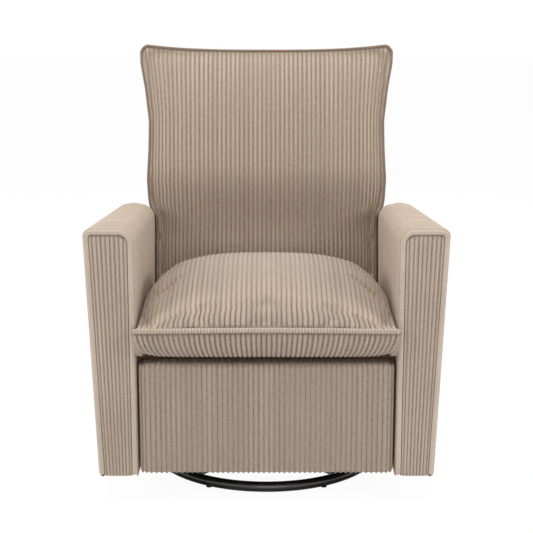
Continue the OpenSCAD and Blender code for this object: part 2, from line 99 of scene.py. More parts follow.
class Maker:
    """Makes the nodes of one material or world, its owner. node() adds any node: its settings are set
    first, then the values or links of its sockets."""

    def __init__(self, owner):
        self.owner = owner
        owner.use_nodes = True
        self.tree = owner.node_tree
        self.tree.nodes.clear()

    def node(self, kind, settings=None, inputs=None, output=0):
        made = self.tree.nodes.new(kind)
        for key, value in (settings or {}).items():
            setattr(made, key, value)
        for key, value in (inputs or {}).items():
            socket = made.inputs[key]
            if isinstance(value, Value):
                self.tree.links.new(value.socket, socket)
            else:
                socket.default_value = value
        return Value(self, made.outputs[output]) if made.outputs else None

    def place(self):
        return self.node("ShaderNodeTexCoord", output="Object")

    def attribute(self, name):
        return self.node("ShaderNodeAttribute", {"attribute_name": name}, output="Fac")

    def noise(self, scale, detail=2.0, stretch=None):
        where = self.place()
        if stretch:
            where = self.node("ShaderNodeMapping", inputs={"Vector": where, "Scale": stretch})
        return self.node("ShaderNodeTexNoise", inputs={"Vector": where, "Scale": scale, "Detail": detail})

    def mix(self, share, first, second):
        return self.node("ShaderNodeMix", {"data_type": "RGBA"}, {0: share, 6: first, 7: second}, output=2)

    def spread(self, value, low, high):
        """Stretches the values from low to high over 0 to 1."""
        return self.node("ShaderNodeMapRange", inputs={"Value": value, "From Min": low, "From Max": high})

    def larger(self, first, second):
        return self.node("ShaderNodeMath", {"operation": "MAXIMUM"}, {0: first, 1: second})

    def bump(self, height, strength, distance):
        sockets = {"Height": height, "Strength": strength, "Distance": distance}
        return self.node("ShaderNodeBump", inputs=sockets)

    def finish(self, **sockets):
        """Joins a Principled surface with these sockets to the material's output."""
        names = {key.replace("_", " "): value for key, value in sockets.items()}
        surface = self.node("ShaderNodeBsdfPrincipled", inputs=names)
        self.node("ShaderNodeOutputMaterial", inputs={"Surface": surface})
        return self.owner


def srgb(red, green, blue):
    """A linear colour from sRGB values of 0 to 255."""
    return tuple((c / 255 / 12.92) if c < 10.3 else ((c / 255 + 0.055) / 1.055) ** 2.4
                 for c in (red, green, blue)) + (1,)


def scaled(colour, factor, lift=0.0):
    """The colour's channels times a factor, plus a lift, at most 1."""
    return tuple(min(1, factor * c + lift) for c in colour[:3]) + (1,)


def corduroy(name, crest, groove):
    """Wide-wale pile: the tone attribute varies each wale; the groove attribute darkens the cloth between wales,
    partly the cloth's own darker base and partly painted shade, which it also lays along seams; coarse noise
    strokes the nap one way or the other, and fine noise gives the pile its specks."""
    m = Maker(bpy.data.materials.new(name))
    depth = m.attribute("groove")
    nap = m.noise(14, 3, (1, 1, 0.45))
    pile = m.noise(430, 3, (1, 1, 0.5))
    colour = m.mix(m.attribute("tone"), scaled(crest, 0.92), scaled(crest, 1.08))
    # painted shade: the groove attribute mixes in the groove colour, partly the cloth's darker base and partly the
    # shade in grooves and seams
    colour = m.mix(depth, colour, groove)
    colour = m.mix(m.spread(nap, 0.38, 0.66) * 0.36, colour, scaled(crest, 0.66))
    speck = m.spread(pile, 0.35, 0.65)
    colour = m.mix(speck * 0.32, colour, scaled(crest, 1.35))
    fuzz = m.bump(speck, 0.5, 0.5 * MM)
    return m.finish(Base_Color=colour, Roughness=0.95, Normal=fuzz, Sheen_Weight=0.22, Sheen_Roughness=0.45,
                    Specular_IOR_Level=0.2)


def enamel(name, colour, roughness, coat=0.0):
    """Painted steel: fine noise gives a slight orange peel, coarse noise a dust that dulls it in patches."""
    m = Maker(bpy.data.materials.new(name))
    dust = m.noise(35, 4)
    peel = m.bump(m.noise(260, 1), 0.04, 0.2 * MM)
    shade = m.mix(dust * 0.25, colour, scaled(colour, 1.6, 0.01))
    return m.finish(Base_Color=shade, Roughness=dust * 0.12 + roughness, Normal=peel,
                    Coat_Weight=coat, Coat_Roughness=0.08)


def metal(name, colour, roughness):
    """Plated or brushed metal: noise drawn out along X changes its gloss and its shade in fine streaks."""
    m = Maker(bpy.data.materials.new(name))
    streak = m.noise(60, 3, (1, 9, 9))
    shade = m.mix(streak * 0.5, colour, scaled(colour, 0.7))
    return m.finish(Base_Color=shade, Metallic=1.0, Roughness=streak * 0.22 + roughness,
                    Normal=m.bump(streak, 0.08, 0.1 * MM))


def plywood(name):
    """Raw wood: squeezed noise for the grain, and a finer one for the pores."""
    m = Maker(bpy.data.materials.new(name))
    grain = m.noise(26, 6, (1, 1, 9))
    pores = m.noise(420, 2, (1, 1, 12))
    shade = m.mix(grain, srgb(196, 160, 112), srgb(150, 112, 70))
    shade = m.mix(pores * 0.35, shade, srgb(112, 82, 50))
    return m.finish(Base_Color=shade, Roughness=grain * 0.15 + 0.6, Normal=m.bump(pores, 0.15, 0.2 * MM))


def moulded(name, colour, roughness):
    """Moulded plastic or rubber: a fine grain."""
    m = Maker(bpy.data.materials.new(name))
    grain = m.noise(600, 2)
    shade = m.mix(grain * 0.3, colour, scaled(colour, 0.75))
    fuzz = m.bump(grain, 0.15, 0.15 * MM)
    return m.finish(Base_Color=shade, Roughness=grain * 0.15 + roughness, Normal=fuzz)


def deck(name):
    """Black non-woven deck cloth: fine noise for its fibres."""
    m = Maker(bpy.data.materials.new(name))
    fibre = m.noise(700, 3)
    shade = m.mix(fibre, (0.012, 0.012, 0.013, 1), (0.035, 0.035, 0.037, 1))
    return m.finish(Base_Color=shade, Roughness=0.95, Normal=m.bump(fibre, 0.4, 0.4 * MM))


CREST = srgb(193, 175, 158)
# the grooves' colour: partly the cloth's own darker base, partly painted shade
GROOVE_WITH_SHADE = srgb(108, 92, 79)
PILE = corduroy("corduroy_wales", CREST, GROOVE_WITH_SHADE)
# painted sheen: the welt is the pile's own cloth, drawn lighter for the sheen on its pile
WELT_PAINTED_SHEEN = corduroy("corduroy_welt_painted_sheen", srgb(200, 184, 168), srgb(120, 104, 90))
# painted shade: the piping is the pile's own cloth, drawn darker for the shade on its bias-cut nap along the
# cushion's grazing rim
PIPING_PAINTED_SHADE = corduroy("corduroy_piping_painted_shade", srgb(138, 122, 107), srgb(90, 76, 64))
LINING = corduroy("corduroy_smooth", srgb(176, 158, 142), srgb(110, 95, 82))
FINISHES = {
    "corduroy": LINING,
    "black_gloss": enamel("ring_gloss_black", (0.012, 0.012, 0.013, 1), 0.12, 0.6),
    "black_steel": enamel("linkage_satin_black", (0.02, 0.02, 0.022, 1), 0.42),
    "bright_steel": metal("zinc_steel", (0.62, 0.62, 0.64, 1), 0.28),
    "brass_cage": metal("brass", (0.72, 0.53, 0.24, 1), 0.25),
    "rubber": moulded("rubber", (0.02, 0.02, 0.02, 1), 0.7),
    "nylon": moulded("nylon", (0.72, 0.69, 0.6, 1), 0.45),
    "wood": plywood("raw_plywood"),
    "deck_cloth": deck("black_deck_cloth"),
}
for part in frame["record"]["subparts"]:
    node = frame["nodes"][part["node"]]
    node.data.materials.clear()
    node.data.materials.append(FINISHES[part["material_slot"]])


# ---- Surfaces ----
def ease(t):
    """Smooth step from 0 to 1."""
    t = np.clip(t, 0, 1)
    return t * t * (3 - 2 * t)


def between(a, b, share):
    """A straight mix: a where share is 0, b where it is 1."""
    return a + (b - a) * share


def shares(count):
    """A column of even shares from 0 to 1."""
    return np.linspace(0, 1, count)[:, None]


def arc(start, end, count):
    """Angles in radians from start to end, given in degrees."""
    return np.radians(np.linspace(start, end, count))


def surface(x, y, z):
    """A grid of points from three arrays that broadcast against each other."""
    return np.stack(np.broadcast_arrays(x, y, z), axis=-1).astype(float)


def normals(points):
    """The surface's normal at each point: the cross product of its two central differences."""
    down, across = np.gradient(points, axis=0), np.gradient(points, axis=1)
    n = np.cross(across, down)
    return n / np.maximum(np.linalg.norm(n, axis=-1, keepdims=True), 1e-12)


def wales(count):
    """Wale numbers of the columns of a sheet with that many wales."""
    return np.arange(count * STEPS + 1) / STEPS


def ribbed(points, wale, side=1, rise=WALE_RISE, fade=1.0):
    """Raises wales on a sheet: each point moves out along its normal by rise * sin(pi t)^0.75,
    where t is its place across its wale. Returns the points and the depth of the groove at each."""
    t = np.broadcast_to(wale, points.shape[:2]) % 1
    height = np.sin(np.pi * t) ** 0.75
    fade = np.broadcast_to(fade, height.shape)
    lifted = points + side * normals(points) * (rise * height * fade)[..., None]
    return lifted, 1 - height * fade


def resample(field, count, axis):
    """Catmull-Rom interpolation of a grid of values to count rows or columns."""
    last = field.shape[axis] - 1
    at = np.linspace(0, last, count)
    cell = np.clip(np.floor(at).astype(int), 0, last - 1)
    t = (at - cell).reshape([-1 if k == axis else 1 for k in range(field.ndim)])
    a, b, c, d = (np.take(field, np.clip(cell + k, 0, last), axis) for k in (-1, 0, 1, 2))
    return b + 0.5 * t * (c - a + t * (2 * a - 5 * b + 4 * c - d + t * (3 * (b - c) + d - a)))


def grid_faces(rows, columns, offset, flip):
    """Quads between neighbouring points of a grid."""
    index = np.arange(rows * columns).reshape(rows, columns) + offset
    quads = np.stack([index[:-1, :-1], index[1:, :-1], index[1:, 1:], index[:-1, 1:]], axis=-1).reshape(-1, 4)
    return quads[:, ::-1] if flip else quads


def make_piece(name, sheets, body, nodes):
    """One padded object from several sheets, in place of CAD nodes. A sheet is (points, groove, material,
    flip): its grid of points, how deep in a groove each lies, its material and whether its faces turn over.
    Each wale gets one random tone."""
    mesh = bpy.data.meshes.new(name)
    points, faces, grooves, tones, slots, offset, materials = [], [], [], [], [], 0, []
    random = np.random.default_rng(len(name))
    for grid, groove, material, flip in sheets:
        rows, columns = grid.shape[:2]
        if material not in materials:
            materials.append(material)
        quads = grid_faces(rows, columns, offset, flip)
        points.append(grid.reshape(-1, 3))
        faces.append(quads)
        grooves.append(np.broadcast_to(groove, (rows, columns)).reshape(-1))
        shades = random.uniform(0, 1, columns // STEPS + 2)
        mixed = shades[(np.arange(columns) + STEPS // 2) // STEPS]
        tones.append(np.broadcast_to(mixed, (rows, columns)).reshape(-1))
        slots.append(np.full(len(quads), materials.index(material)))
        offset += rows * columns
    points, faces = np.concatenate(points), np.concatenate(faces)
    mesh.vertices.add(len(points))
    mesh.vertices.foreach_set("co", points.astype(np.float32).ravel())
    mesh.loops.add(faces.size)
    mesh.loops.foreach_set("vertex_index", faces.astype(np.int32).ravel())
    mesh.polygons.add(len(faces))
    mesh.polygons.foreach_set("loop_start", np.arange(0, faces.size, 4, dtype=np.int32))
    mesh.polygons.foreach_set("material_index", np.concatenate(slots).astype(np.int32))
    mesh.polygons.foreach_set("use_smooth", np.ones(len(faces), bool))
    mesh.update(calc_edges=True)
    for key, values in (("groove", grooves), ("tone", tones)):
        layer = mesh.attributes.new(key, "FLOAT", "POINT")
        layer.data.foreach_set("value", np.concatenate(values).astype(np.float32))
    for material in materials:
        mesh.materials.append(material)
    piece = bpy.data.objects.new(name, mesh)
    bpy.context.scene.collection.objects.link(piece)
    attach(piece, body)
    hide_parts(*nodes)


def mirrored(sheets):
    """The same sheets on the other side of the chair."""
    return [(grid * np.array([-1, 1, 1]), groove, material, not flip)
            for grid, groove, material, flip in sheets]


def tube(path, radius, sides=10, knob=0.0, pitch=WALE, flat=1.0):
    """A round tube along a path: each ring lies across the path's direction, turned as little as
    possible from the ring before. With knob above 0 its radius swells once a pitch along its length,
    and flat below 1 flattens it from front to back."""
    ahead = np.gradient(path, axis=0)
    ahead /= np.linalg.norm(ahead, axis=1, keepdims=True)
    up = np.array([0.0, 0.0, 1.0]) if abs(ahead[0, 2]) < 0.9 else np.array([0.0, 1.0, 0.0])
    ups = []
    for direction in ahead:
        up = up - direction * np.dot(up, direction)
        up = up / np.linalg.norm(up)
        ups.append(up)
    ups = np.array(ups)
    rights = np.cross(ahead, ups)
    turn = np.linspace(0, 2 * np.pi, sides + 1)
    run = np.concatenate([[0], np.cumsum(np.linalg.norm(np.diff(path, axis=0), axis=1))])
    swell = np.abs(np.sin(np.pi * run / pitch)) ** 0.7
    r = radius * (1 - knob + knob * swell)
    ends = np.minimum(run, run[-1] - run) / radius
    r = r * np.sqrt(np.clip(ends * (2 - ends), 0.0004, 1)) * (ends < 1) + r * (ends >= 1)
    ring = (np.cos(turn)[None, :, None] * ups[:, None] + np.sin(turn)[None, :, None] * rights[:, None])
    ring = ring * np.array([1, flat, 1])
    groove = np.repeat((1 - swell)[:, None] * (knob > 0), sides + 1, 1)
    return path[:, None] + ring * r[:, None, None], groove


def even_path(points, step):
    """Points at an even step along a polyline."""
    run = np.concatenate([[0], np.cumsum(np.linalg.norm(np.diff(points, axis=0), axis=1))])
    at = np.linspace(0, run[-1], int(run[-1] / step) + 1)
    return np.stack([np.interp(at, run, points[:, k]) for k in range(3)], axis=1)


def plumped(points, cap, pressure, spare):
    """Cloth held along its four edges and swollen by pressure: how far each point moves, cap at most.
    spare is the extra length woven into the cloth, which lets it pucker beside its seams."""
    rows, columns = points.shape[:2]
    scene = bpy.context.scene
    mesh = bpy.data.meshes.new("cloth")
    mesh.from_pydata(points.reshape(-1, 3).tolist(), [], grid_faces(rows, columns, 0, False).tolist())
    cloth = bpy.data.objects.new("cloth", mesh)
    scene.collection.objects.link(cloth)
    edge = np.ones((rows, columns), bool)
    edge[1:-1, 1:-1] = False
    held = cloth.vertex_groups.new(name="held")
    held.add(np.flatnonzero(edge).tolist(), 1.0, "REPLACE")
    modifier = cloth.modifiers.new("Cloth", "CLOTH")
    settings = modifier.settings
    settings.quality = 6
    settings.mass = 0.35
    settings.tension_stiffness = settings.compression_stiffness = 22
    settings.shear_stiffness = 8
    settings.bending_stiffness = 1.2
    settings.shrink_min = -spare
    settings.use_pressure = True
    settings.uniform_pressure_force = pressure
    settings.vertex_group_mass = "held"
    settings.effector_weights.gravity = 0
    modifier.collision_settings.use_collision = False
    for number in range(1, CLOTH_FRAMES + 1):
        scene.frame_set(number)
    done = cloth.evaluated_get(bpy.context.evaluated_depsgraph_get()).to_mesh()
    moved = np.empty(rows * columns * 3, np.float32)
    done.vertices.foreach_get("co", moved)
    shift = moved.reshape(rows, columns, 3) - points
    bpy.data.objects.remove(cloth)
    scene.frame_set(1)
    size = np.linalg.norm(shift, axis=-1, keepdims=True)
    return shift * np.minimum(1, cap / np.maximum(size, 1e-9))


def grow(shift, rows, columns):
    """A coarse field of moves at the fine sheet's rows and columns."""
    return resample(resample(shift, rows, 0), columns, 1)


# ---- Arms ----
ARM_FALL = math.atan(48 / 542)           # fall of the arm's top towards the back
ARM_SWEEP = 26 / 662                     # how fast the outer face comes in towards the back
ARM_LEAN = 23 / 571                      # and towards its lower edge
REAR_R = 120 * MM                        # round top corner at the rear
INNER_R, OUTER_R, FOOT_R = 30 * MM, 14 * MM, 8 * MM
ARM_STRIP = 11 * MM                      # width of the flat strip round an arm's front
SKIN = 3 * MM                            # the cloth's base lies this deep under the wales' crests
ARC_Y = ARM_HIGH.y - REAR_R
TANGENT_Y = ARC_Y + REAR_R * math.sin(ARM_FALL)
ARC_Z = ARM_HIGH.z - (TANGENT_Y - FRONT) * math.tan(ARM_FALL) - REAR_R * math.cos(ARM_FALL)
SPLIT_TURN = 45                          # degrees round the rear corner where the top band ends
SPLIT_Y = ARC_Y + REAR_R * math.sin(math.radians(SPLIT_TURN))
BAND_IN = 3 * MM                         # the band starts this far behind the front
SIDE_WALES, STRIP_WALES, FACE_WALES = 3, 7, 9
TURN_ROWS, FALL_ROWS = 14, 24            # rows of the rear strip round its corner and down its fall
STRIP_EDGE = 10 * MM                     # rounding of the rear strip's two long edges
FACE_IN, FACE_CROWN, FACE_DISH = 3.2 * MM, 1.6 * MM, 2.2 * MM


def arm_top(y):
    """Height of the arm's top: a falling line, then the rear corner's arc."""
    line = ARM_HIGH.z - (y - FRONT) * math.tan(ARM_FALL)
    curve = ARC_Z + np.sqrt(np.clip(REAR_R ** 2 - np.clip(y - ARC_Y, 0, None) ** 2, 0, None))
    return np.where(y < TANGENT_Y, line, curve) - SKIN


def arm_outer(y, z):
    """Outer face of the arm: it leans in downwards and sweeps in backwards."""
    return ARM_HIGH.x - (y - FRONT) * ARM_SWEEP - (ARM_HIGH.z - z) * ARM_LEAN - SKIN


def arm_band(y):
    """The cloth over the arm, one row after another: up the inner face, round the inner top corner,
    across the crowned top, round the outer corner, down the leaning outer face and under its foot."""
    top, low, inner = arm_top(y), ARM_LOW.z, HALF_SEAT + SKIN
    edge = arm_outer(y, top - OUTER_R)
    a, b = arc(180, 90, 9)[:, None], arc(90, 0, 7)[:, None]
    up, flat, down = shares(26), shares(9)[1:-1], shares(28)[1:]
    z_down = between(top - OUTER_R, low + FOOT_R, down)
    foot = arc(0, -90, 5)[1:, None]
    crown = 3 * MM * ease((y - FRONT - 5 * MM) / (120 * MM))
    rows = [
        (inner + 0 * y, between(low, top - INNER_R, up)),
        (inner + INNER_R * (1 + np.cos(a[1:])), top - INNER_R + INNER_R * np.sin(a[1:])),
        (between(inner + INNER_R, edge - OUTER_R, flat), top + crown * np.sin(np.pi * flat)),
        (edge - OUTER_R + OUTER_R * np.cos(b), top - OUTER_R + OUTER_R * np.sin(b)),
        (arm_outer(y, z_down), z_down),
        (arm_outer(y, low + FOOT_R) - FOOT_R + FOOT_R * np.cos(foot), low + FOOT_R + FOOT_R * np.sin(foot)),
    ]
    sheets = [surface(x, y[None, :], z) for x, z in rows]
    return np.concatenate(sheets)


def arm_face_top(x, y):
    """Height of the arm's front face at x: level, with a large inner and a small outer corner."""
    top, inner = arm_top(np.array(y)) - ARM_STRIP + 2 * MM, HALF_SEAT + SKIN + ARM_STRIP / 2
    edge = arm_outer(y, top - OUTER_R)
    into = np.clip((inner + INNER_R - x) / INNER_R, 0, 1)
    out = np.clip((x - edge + OUTER_R) / OUTER_R, 0, 1)
    return top - INNER_R * (1 - np.sqrt(1 - into ** 2)) - OUTER_R * (1 - np.sqrt(1 - out ** 2))


def arm_outline(y, inset):
    """The line round the front face: up its inner side, over the top and down its outer side."""
    top, low = float(arm_top(np.array(y))) - inset, ARM_LOW.z
    inner = HALF_SEAT + SKIN + inset
    edge = arm_outer(y, top - OUTER_R) - inset
    a, b = arc(180, 90, 13), arc(90, 0, 9)
    ri, ro = INNER_R - inset, OUTER_R - inset / 2
    x = np.concatenate([[inner], inner + ri + ri * np.cos(a), edge - ro + ro * np.cos(b),
                        [arm_outer(y, low) - inset]])
    z = np.concatenate([[low + 3 * MM], top - ri + ri * np.sin(a), top - ro + ro * np.sin(b), [low + 3 * MM]])
    return even_path(surface(x, y, z), 2.8 * MM)


def arm_cover():
    """The band over the arm up to the split, one column of wales after another towards the back."""
    count = round((SPLIT_Y - FRONT) / WALE)
    wale = wales(count)
    y = FRONT + BAND_IN + (SPLIT_Y - FRONT - BAND_IN) * wale / count
    fade = ease((y - FRONT - BAND_IN) / (6 * MM))[None, :]
    band, groove = ribbed(arm_band(y), wale, -1, fade=fade)
    return [(band, 0.7 * groove, PILE, True)]


def arm_sides():
    """The inner and outer faces behind the split: each is ruled straight from the foot to the top's line."""
    wale = wales(SIDE_WALES)
    y = SPLIT_Y + (ARM_HIGH.y - SKIN - 9 * MM - SPLIT_Y) * wale / SIDE_WALES
    z = between(ARM_LOW.z, arm_top(y), shares(30))
    inner, inner_groove = ribbed(surface(HALF_SEAT + SKIN + 0 * z, y[None, :], z), wale, -1)
    outer, outer_groove = ribbed(surface(arm_outer(y, z), y[None, :], z), wale, 1)
    return [(inner, inner_groove, PILE, True), (outer, outer_groove, PILE, False)]


def arm_strip():
    """The rear strip: round the rear corner's arc from the split, then straight down, with each long edge
    drawn in along a quarter circle."""
    wale = wales(STRIP_WALES)
    bend = arc(SPLIT_TURN, 0, TURN_ROWS)
    fall = np.linspace(ARC_Z, ARM_LOW.z, FALL_ROWS + 1)[1:]
    path_y = np.concatenate([ARC_Y + REAR_R * np.cos(bend), np.full(FALL_ROWS, ARM_HIGH.y)])
    path_z = np.concatenate([ARC_Z + REAR_R * np.sin(bend), fall])
    outward = np.concatenate([bend, np.zeros(FALL_ROWS)])[:, None]
    wide_out = arm_outer(path_y, path_z)[:, None]
    x = between(HALF_SEAT + SKIN, wide_out, (wale / STRIP_WALES)[None, :])
    from_edge = np.minimum(x - HALF_SEAT - SKIN, wide_out - x)
    into = np.clip(1 - from_edge / STRIP_EDGE, 0, 1)
    pull = STRIP_EDGE * (1 - np.sqrt(1 - into ** 2)) + SKIN
    strip = surface(x, path_y[:, None] - pull * np.cos(outward), path_z[:, None] - pull * np.sin(outward))
    strip, groove = ribbed(strip, wale, -1, fade=np.clip(from_edge / (4 * MM), 0, 1))
    return [(strip, groove, PILE, True)]


def arm_face():
    """The front face, ruled across between the strips and up to its rounded top: it crowns by a sine
    across and dishes in at its rim, where painted shade darkens it. The strip round it is a flattened tube, in the
    welt's cloth painted lighter as sheen."""
    wale = wales(FACE_WALES)
    u = wale / FACE_WALES
    v = shares(60) ** 0.9
    low = ARM_LOW.z + 2 * MM
    z_side = between(low, arm_top(np.array(FRONT)), v)
    inner_edge = HALF_SEAT + SKIN + ARM_STRIP - 2 * MM
    outer_edge = arm_outer(FRONT, z_side) - ARM_STRIP + 2 * MM
    x = between(inner_edge, outer_edge, u[None, :])
    z = between(low, arm_face_top(x, FRONT), v)
    side_gap = np.minimum(x - inner_edge, outer_edge - x)
    gap = np.minimum(side_gap, arm_face_top(x, FRONT) - z)
    crown = FACE_CROWN * np.sin(np.pi * u)[None, :]
    y = FRONT + FACE_IN - crown + FACE_DISH * (1 - ease(gap / (7 * MM)))
    face, groove = ribbed(surface(x, y, z), wale, 1, fade=ease(gap / (5 * MM)))
    # painted shade: a dark band along the rim, in the seam where the face dishes in
    groove = np.maximum(0.6 * groove, 0.9 * (1 - ease(gap / (4 * MM))))
    path = arm_outline(FRONT + 2.4 * MM, ARM_STRIP / 2 - 1 * MM)
    rail, rail_groove = tube(path, ARM_STRIP / 2, 12, flat=0.55)
    return [(face, groove, PILE, False), (rail, rail_groove, WELT_PAINTED_SHEEN, False)]


# ---- Boxed pads: footrest, outside back and apron ----
def rounded(points, low, high, radius):
    """Rounds a box: each point of its sharp surface goes to radius away from the core box."""
    core = np.clip(points, np.array(low) + radius, np.array(high) - radius)
    away = points - core
    return core + radius * away / np.maximum(np.linalg.norm(away, axis=-1, keepdims=True), 1e-9)


def stations(start, end, radius, fine=2.2 * MM, coarse=14 * MM):
    """Places along an edge of a box, close together near both of its ends."""
    sign = 1 if end > start else -1
    length = abs(end - start)
    bend = min(1.6 * radius, length / 2)
    near = np.linspace(0, bend, max(2, int(bend / fine)))
    middle = np.linspace(bend, length - bend, max(2, int((length - 2 * bend) / coarse)))
    return start + sign * np.concatenate([near[:-1], middle, (length - near[::-1])[1:]])


def boxed_sheets(low, high, radius, front, place=None, crown=0.0):
    """Corduroy over a box: wales run up its broad face and over its top and bottom edges, and up its
    two sides. front is -1 when the broad face looks to -Y, 1 for +Y. place moves the finished points."""
    low, high = np.array(low) + SKIN * 0.8, np.array(high) - SKIN * 0.8
    face, rear = (low[1], high[1]) if front < 0 else (high[1], low[1])
    count = round((high[0] - low[0]) / WALE)
    wale = wales(count)
    x = between(low[0], high[0], wale / count)
    deep, tall = stations(rear, face, radius), stations(high[2], low[2], radius)
    y = np.concatenate([deep, np.full(len(tall) - 2, face), deep[::-1]])
    z = np.concatenate([np.full(len(deep), high[2]), tall[1:-1], np.full(len(deep), low[2])])
    sharp = surface(x[None, :], y[:, None], z[:, None])
    soft = rounded(sharp, low, high, radius)
    swell = np.sin(np.pi * np.clip((z - low[2]) / (high[2] - low[2]), 0, 1))[:, None] ** 0.5
    across = 1 - np.abs(2 * wale / count - 1)[None, :] ** 6
    soft[..., 1] += front * crown * swell * across
    broad, groove = ribbed(soft, wale, -front)
    sheets = [(broad, groove, PILE, front < 0)]
    depth = high[1] - low[1]
    count = max(1, round(depth / WALE))
    wale = wales(count)
    y = between(low[1], high[1], wale / count)
    for side, edge in ((-1, low[0]), (1, high[0])):
        sharp = surface(edge, y[None, :], tall[:, None])
        cheek, groove = ribbed(rounded(sharp, low, high, radius), wale, -side, rise=WALE_RISE * 0.7)
        sheets.append((cheek, groove, PILE, side > 0))
    if place:
        sheets = [(place(grid), groove, material, flip) for grid, groove, material, flip in sheets]
    return sheets


def leaning(points):
    """From the back's own frame, X across, Y through it and Z up it, to the chair's frame."""
    x, y, z = points[..., 0], points[..., 1], points[..., 2]
    return surface(x, BACK_Y + math.cos(LEAN) * y + math.sin(LEAN) * z,
                   BACK_Z - math.sin(LEAN) * y + math.cos(LEAN) * z)


# ---- Seat cushion ----
WELT_Z, WELT_Y = 415 * MM, SEAT_LOW.y + 6 * MM
WELT_R = 6.2 * MM
SEAT_FOOT = SEAT_LOW.z + 5 * MM          # underside of the cushion's cloth
HALF_CUSHION = HALF_SEAT - 3.6 * MM
NOSE_HALF = SEAT_HIGH.x - 2 * MM
SEAT_PEAK, PEAK_AT = 511 * MM, 225 * MM   # the crown's height, and how far behind the front it is
SEAT_BOW = 1.0                           # fall from the peak, in metres per square metre
SIDE_FALL, CORNER_FALL = 0.065, 0.03     # in metres, at the sides
SEAT_BLEND = 4 * MM                      # how softly the crown runs out at its lower limit
UPPER_ROWS, LOWER_ROWS = 120, 26
SEAT_REAR = SEAT_HIGH.y - 6 * MM
SEAT_TOP_GROOVE_SHADE = 0.55                         # share of the painted groove shade kept on the seat's top, where light from above fills the grooves


def seat_top(d, r):
    """Height of the cushion's top: a parabola from front to back, less a crown that falls across
    the seat with r^3 and steeply beside the arms with r^12; it never falls much under the welt's level."""
    free = SEAT_PEAK - SEAT_BOW * (d - PEAK_AT) ** 2 - SIDE_FALL * r ** 3 - CORNER_FALL * r ** 12
    low = WELT_Z + 1 * MM - 4 * MM * r ** 2 - 14 * MM * ease((d - 200 * MM) / (250 * MM))
    return low + SEAT_BLEND * np.logaddexp(0, (free - low) / SEAT_BLEND)


def welt_line(r):
    """Height of the welt: it falls 4 mm to the sides with r^2."""
    return WELT_Z - 4 * MM * r ** 2


def seat_upper(rows, columns):
    """The upper cover: rows run from the rear edge over the crown and round the nose to the welt."""
    r_line = np.linspace(-1, 1, columns)[None, :]
    depth = SEAT_HIGH.y - FRONT - 6 * MM
    d = between(depth, 0, np.linspace(0, 1, round(rows * 0.8)) ** 0.97)[:, None]
    turn = arc(0, 90, rows - len(d) + 1)[1:, None]
    r = np.abs(r_line)
    top = seat_top(d, r)
    sag = 26 * MM * ease((d - depth + 40 * MM) / (40 * MM)) ** 2
    crown = (r_line * HALF_CUSHION, FRONT + d, top - sag)
    start = seat_top(0.0, r)
    welt = welt_line(r)
    reach = FRONT - WELT_Y - 3 * MM - 4 * MM * r ** 4
    wide = between(HALF_CUSHION, NOSE_HALF, ease(np.sin(turn) * 1.25 - 0.15))
    nose = (r_line * wide, FRONT - reach * np.sin(turn) ** 0.75, between(welt, start, np.cos(turn) ** 0.9))
    return np.concatenate([surface(*crown), surface(*nose)])


def seat_lower(rows, columns):
    """The boxing under the welt: it falls steeply, then curves back under the cushion."""
    r_line = np.linspace(-1, 1, columns)[None, :]
    r = np.abs(r_line)
    v = shares(rows)
    turn = v * np.pi / 2
    welt = welt_line(r)
    bottom = SEAT_FOOT + 8 * MM * r ** 14
    z = between(welt, bottom, np.sin(turn) ** 0.9)
    back = 34 * MM * (1 - np.cos(turn)) ** 1.1
    y = WELT_Y + 3 * MM + 4 * MM * r ** 4 + back - 3 * MM * np.sin(np.pi * v)
    half = between(NOSE_HALF, HALF_CUSHION - 12 * MM, ease(v * 1.15))
    return surface(r_line * half, y, z)


def cushion_covers():
    """The plumped upper cover and the boxing. Wales fade out at the welt and at the rear edge and stand lower over
    the seat's top, where the painted shade in their grooves is lighter, as light from above fills them.
    Painted shade darkens both covers in the seam along the welt, and the boxing all over and more towards its
    foot."""
    wale = wales(2 * round(HALF_CUSHION / WALE) + 2)
    columns = len(wale)
    shift = plumped(seat_upper(60, 45), 9 * MM, 5.0, 0.02)
    base = seat_upper(UPPER_ROWS, columns) + grow(shift, UPPER_ROWS, columns)
    near = np.linspace(1, 0, UPPER_ROWS)[:, None]
    fade = ease(near / 0.035) * ease((1 - near) / 0.02 + 0.2) * between(1, 0.62, ease((near - 0.1) / 0.4))
    upper, groove = ribbed(base, wale, -1, fade=fade)
    # painted shade: the grooves' shade is lighter on the seat's top, which light from above fills
    groove = groove * between(0.95, SEAT_TOP_GROOVE_SHADE, ease((near - 0.08) / 0.4))
    # painted shade: a dark band in the seam along the welt, where the cover turns under it
    sheets = [(upper, np.maximum(groove, 0.8 * (1 - ease(near / 0.03))), PILE, True)]
    v = shares(LOWER_ROWS)
    lower, groove = ribbed(seat_lower(LOWER_ROWS, columns), wale, -1, fade=ease(v / 0.12))
    # painted shade: the boxing under the welt is darker all over and darker still towards its foot, under the
    # cushion, with a dark band in the seam at the welt
    groove = np.clip(0.12 + 1.1 * groove + 0.25 * v, 0, 1)
    sheets.append((lower, np.maximum(groove, 0.85 * (1 - ease(v / 0.12))), PILE, True))
    return sheets


